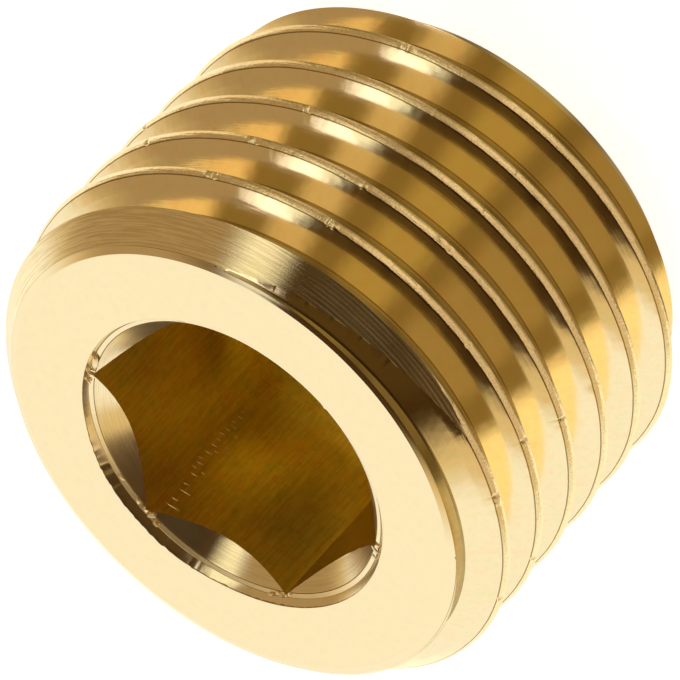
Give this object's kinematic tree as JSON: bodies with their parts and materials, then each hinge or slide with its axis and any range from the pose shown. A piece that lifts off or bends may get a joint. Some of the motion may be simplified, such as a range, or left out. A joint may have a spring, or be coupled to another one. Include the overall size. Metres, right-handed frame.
{
  "type": "hex socket plug",
  "caption": "Short screw plug with a tapered outer thread and a blind hexagon socket in its wide end, used to close and seal a threaded port.",
  "frame": {"origin": "centre of the small end's flat disc, on which the plug stands", "axes": "+Z along the plug's axis from the small end to the socket face; two flats of the hexagon are square to Y"},
  "size_m": [0.0142, 0.0142, 0.01],
  "materials": {
    "turned_brass": "bright turned brass, fine turning marks on the chamfer, drawn marks in the socket"
  },
  "bodies": {
    "root": {"hex_plug": "turned_brass"}
  },
  "joints": []
}
